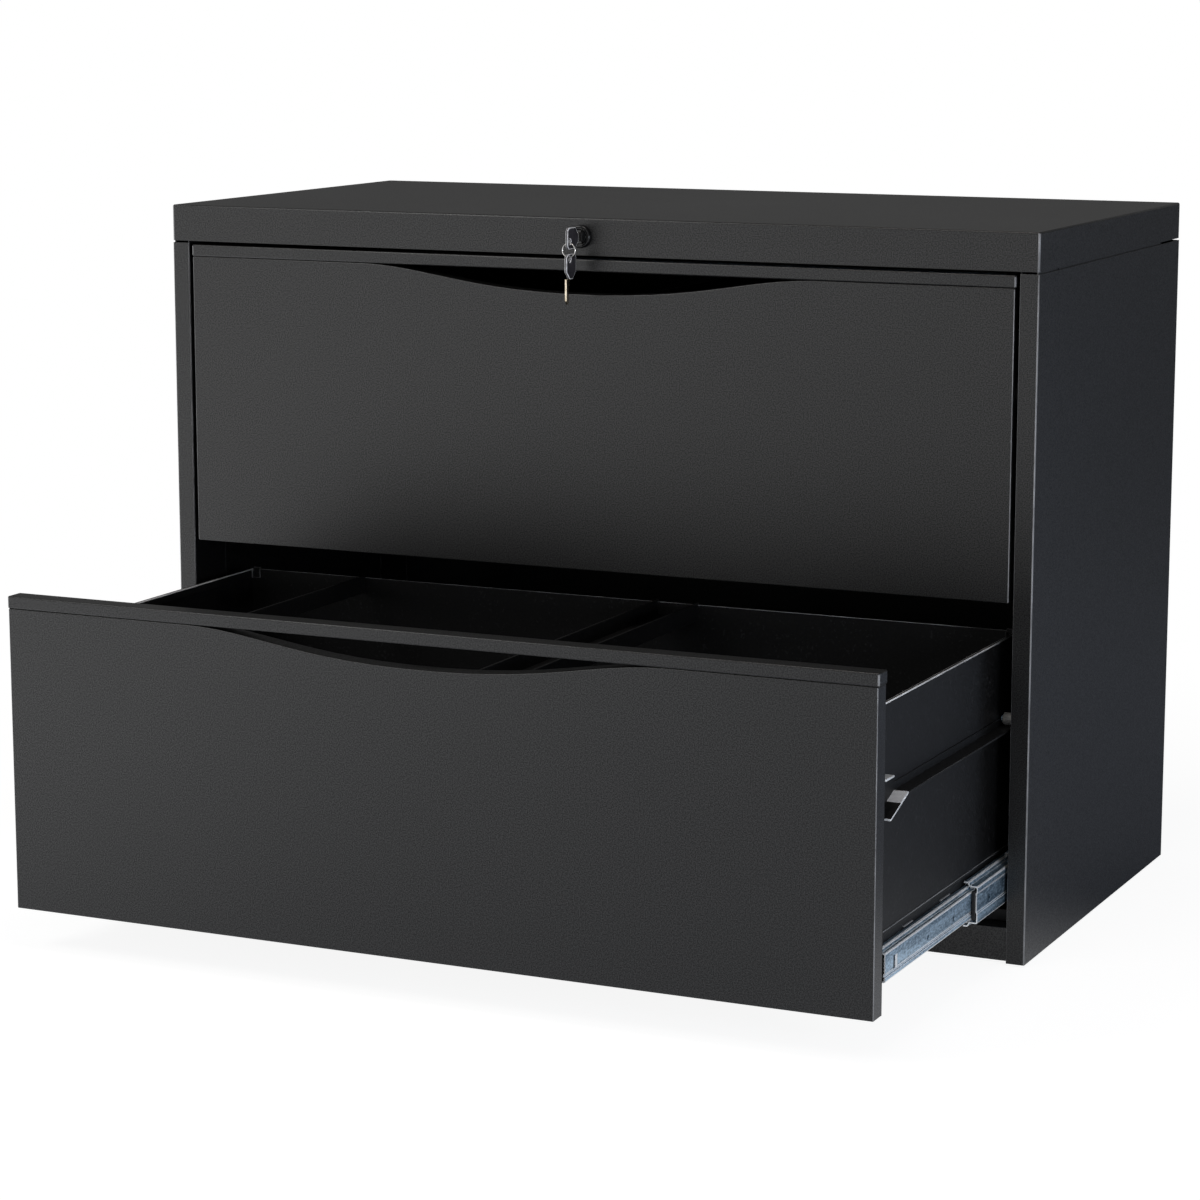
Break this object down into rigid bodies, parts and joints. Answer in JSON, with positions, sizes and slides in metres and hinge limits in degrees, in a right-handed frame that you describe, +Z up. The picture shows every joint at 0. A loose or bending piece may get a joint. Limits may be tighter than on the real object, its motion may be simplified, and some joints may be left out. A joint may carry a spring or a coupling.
{
  "type": "lateral filing cabinet",
  "caption": "Wide steel filing cabinet with flush drawers on ball slides, scooped finger pulls, a keyed lock in the top cover and a drawer interlock.",
  "frame": {"origin": "on the floor, at the centre of the object's box with the lower drawer standing open as pictured", "axes": "+X to the right across the cabinet seen from its front, +Y from the drawers' fronts to the back, +Z up"},
  "size_m": [0.914, 0.8, 0.686],
  "materials": {
    "powder_coat": "fine-textured charcoal black powder coat, semi-matt",
    "inner_coat": "black powder coat, matt, inside of the case and drawers",
    "zinc_steel": "bright zinc plate with a blue cast",
    "black_gloss": "gloss black lock bezel",
    "nickel": "nickel plate",
    "nylon": "grey nylon",
    "black_plastic": "moulded black plastic"
  },
  "bodies": {
    "cabinet": {"top_cover": "powder_coat", "back_panel": "powder_coat", "left_side_panel": "powder_coat", "right_side_panel": "powder_coat", "kick_panel": "powder_coat", "rear_base_rail": "powder_coat", "bottom_pan": "inner_coat", "front_rail": "inner_coat", "left_front_upright": "inner_coat", "right_front_upright": "inner_coat", "left_rear_upright": "inner_coat", "right_rear_upright": "inner_coat", "left_front_glide": "black_plastic", "left_rear_glide": "black_plastic", "right_front_glide": "black_plastic", "right_rear_glide": "black_plastic", "lower_left_slide_outer": "zinc_steel", "lower_right_slide_outer": "zinc_steel", "upper_left_slide_outer": "zinc_steel", "upper_right_slide_outer": "zinc_steel", "lock_body": "black_gloss", "lock_nut": "zinc_steel"},
    "lower_drawer": {"lower_front_panel": "powder_coat", "lower_pull_strip": "powder_coat", "lower_front_liner": "inner_coat", "lower_left_wall": "inner_coat", "lower_right_wall": "inner_coat", "lower_back_wall": "inner_coat", "lower_drawer_bottom": "inner_coat", "lower_cam_rail": "inner_coat", "lower_left_slide_inner": "zinc_steel", "lower_right_slide_inner": "zinc_steel"},
    "lower_slide_middles": {"lower_left_slide_middle": "zinc_steel", "lower_right_slide_middle": "zinc_steel"},
    "lower_left_file_bar": {"lower_left_file_bar": "inner_coat"},
    "lower_centre_file_rail": {"lower_centre_file_rail": "inner_coat"},
    "upper_drawer": {"upper_front_panel": "powder_coat", "upper_pull_strip": "powder_coat", "upper_front_liner": "inner_coat", "upper_left_wall": "inner_coat", "upper_right_wall": "inner_coat", "upper_back_wall": "inner_coat", "upper_drawer_bottom": "inner_coat", "upper_cam_rail": "inner_coat", "upper_left_slide_inner": "zinc_steel", "upper_right_slide_inner": "zinc_steel"},
    "upper_slide_middles": {"upper_left_slide_middle": "zinc_steel", "upper_right_slide_middle": "zinc_steel"},
    "upper_left_file_bar": {"upper_left_file_bar": "inner_coat"},
    "upper_centre_file_rail": {"upper_centre_file_rail": "inner_coat"},
    "lock_plug": {"lock_plug": "nickel", "lock_cam": "zinc_steel"},
    "lock_link": {"lock_link": "zinc_steel"},
    "key": {"key_head": "black_plastic", "key_blade": "nickel"},
    "key_ring": {"key_ring": "nickel"},
    "interlock_bar": {"interlock_bar": "zinc_steel"},
    "lower_interlock_roller": {"lower_interlock_roller": "nylon"},
    "upper_interlock_roller": {"upper_interlock_roller": "nylon"}
  },
  "joints": [
    {"name": "lower_drawer_slide", "type": "slide", "parent": "cabinet", "child": "lower_drawer", "axis": [0, -1, 0], "range_m": [-0.34, 0.06]},
    {"name": "upper_drawer_slide", "type": "slide", "parent": "cabinet", "child": "upper_drawer", "axis": [0, -1, 0], "range_m": [0, 0.4]},
    {"name": "lower_slide_middles_travel", "type": "slide", "parent": "cabinet", "child": "lower_slide_middles", "axis": [0, -1, 0], "range_m": [-0.1122, 0.0198]},
    {"name": "upper_slide_middles_travel", "type": "slide", "parent": "cabinet", "child": "upper_slide_middles", "axis": [0, -1, 0], "range_m": [0, 0.132]},
    {"name": "lower_left_file_bar_slide", "type": "slide", "parent": "lower_drawer", "child": "lower_left_file_bar", "axis": [1, 0, 0], "range_m": [-0.12, 0.12]},
    {"name": "lower_centre_file_rail_slide", "type": "slide", "parent": "lower_drawer", "child": "lower_centre_file_rail", "axis": [1, 0, 0], "range_m": [-0.1, 0.1]},
    {"name": "upper_left_file_bar_slide", "type": "slide", "parent": "upper_drawer", "child": "upper_left_file_bar", "axis": [1, 0, 0], "range_m": [-0.12, 0.12]},
    {"name": "upper_centre_file_rail_slide", "type": "slide", "parent": "upper_drawer", "child": "upper_centre_file_rail", "axis": [1, 0, 0], "range_m": [-0.1, 0.1]},
    {"name": "lock_turn", "type": "hinge", "parent": "cabinet", "child": "lock_plug", "pos_m": [0, -0.06, 0.668], "axis": [0, -1, 0], "range_deg": [0, 90]},
    {"name": "lock_link_slide", "type": "slide", "parent": "cabinet", "child": "lock_link", "axis": [1, 0, 0], "range_m": [0, 0.01414]},
    {"name": "key_pull", "type": "slide", "parent": "lock_plug", "child": "key", "axis": [0, -1, 0], "range_m": [0, 0.03]},
    {"name": "key_ring_hang", "type": "hinge", "parent": "key", "child": "key_ring", "pos_m": [0, -0.088, 0.65675], "axis": [0, -1, 0], "range_deg": [-90, 0]},
    {"name": "interlock_lift", "type": "slide", "parent": "cabinet", "child": "interlock_bar", "axis": [0, 0, 1], "range_m": [0, 0.004]},
    {"name": "lower_roller_spin", "type": "hinge", "parent": "interlock_bar", "child": "lower_interlock_roller", "pos_m": [0.431, -0.033, 0.2303], "axis": [1, 0, 0], "continuous": true},
    {"name": "upper_roller_spin", "type": "hinge", "parent": "interlock_bar", "child": "upper_interlock_roller", "pos_m": [0.431, -0.033, 0.53555], "axis": [1, 0, 0], "continuous": true}
  ],
  "couplings": [
    {"joint": "lower_slide_middles_travel", "follows": "lower_drawer_slide", "ratio": 0.33},
    {"joint": "upper_slide_middles_travel", "follows": "upper_drawer_slide", "ratio": 0.33},
    {"joint": "lock_turn", "follows": "lock_link_slide", "rad_per_m": 111.07},
    {"joint": "key_ring_hang", "follows": "lock_link_slide", "rad_per_m": -111.07}
  ]
}
